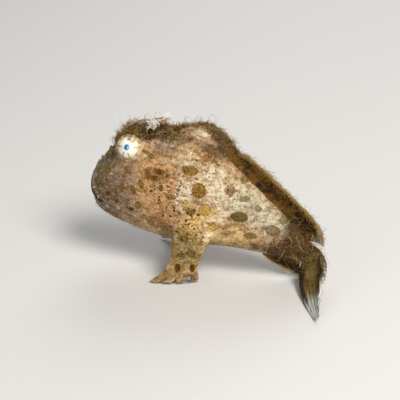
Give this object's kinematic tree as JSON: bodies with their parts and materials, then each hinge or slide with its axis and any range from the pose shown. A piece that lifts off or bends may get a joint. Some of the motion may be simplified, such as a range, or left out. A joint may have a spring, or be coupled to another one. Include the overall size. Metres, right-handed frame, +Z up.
{
  "type": "frogfish",
  "caption": "Small hairy frogfish standing on hand-like fins, with a humped spotted body, a lure over the brow, a leaning rayed back fin and a tail fin curled round to its left.",
  "frame": {"origin": "middle of the bounding box on the ground plane", "axes": "+Z up, snout towards -X, tail towards +X, left flank towards -Y; modelled standing on the ground"},
  "size_m": [0.0506, 0.0266, 0.0328],
  "materials": {
    "skin": "soft moist skin, pale pinkish cream with olive and brown spots",
    "hairy_skin": "brown skin thick with soft filaments",
    "fin": "translucent brown membrane over soft rays",
    "clear_fin": "translucent tan membrane over pale rays",
    "filament": "pale soft stalk with a whitish tufted lure",
    "iris": "clear wet dome over a white iris and a blue pupil"
  },
  "bodies": {
    "root": {"head": "skin", "torso": "skin", "tail_stem": "skin", "crest_spine": "hairy_skin", "nape_spine": "skin", "lure_rod": "filament", "dorsal_fin": "fin", "anal_fin": "fin", "tail_fin": "clear_fin", "eye_left": "iris", "arm_left": "skin", "hand_left": "clear_fin", "pelvic_fin_left": "clear_fin", "eye_right": "iris", "arm_right": "skin", "hand_right": "clear_fin", "pelvic_fin_right": "clear_fin"}
  },
  "joints": []
}
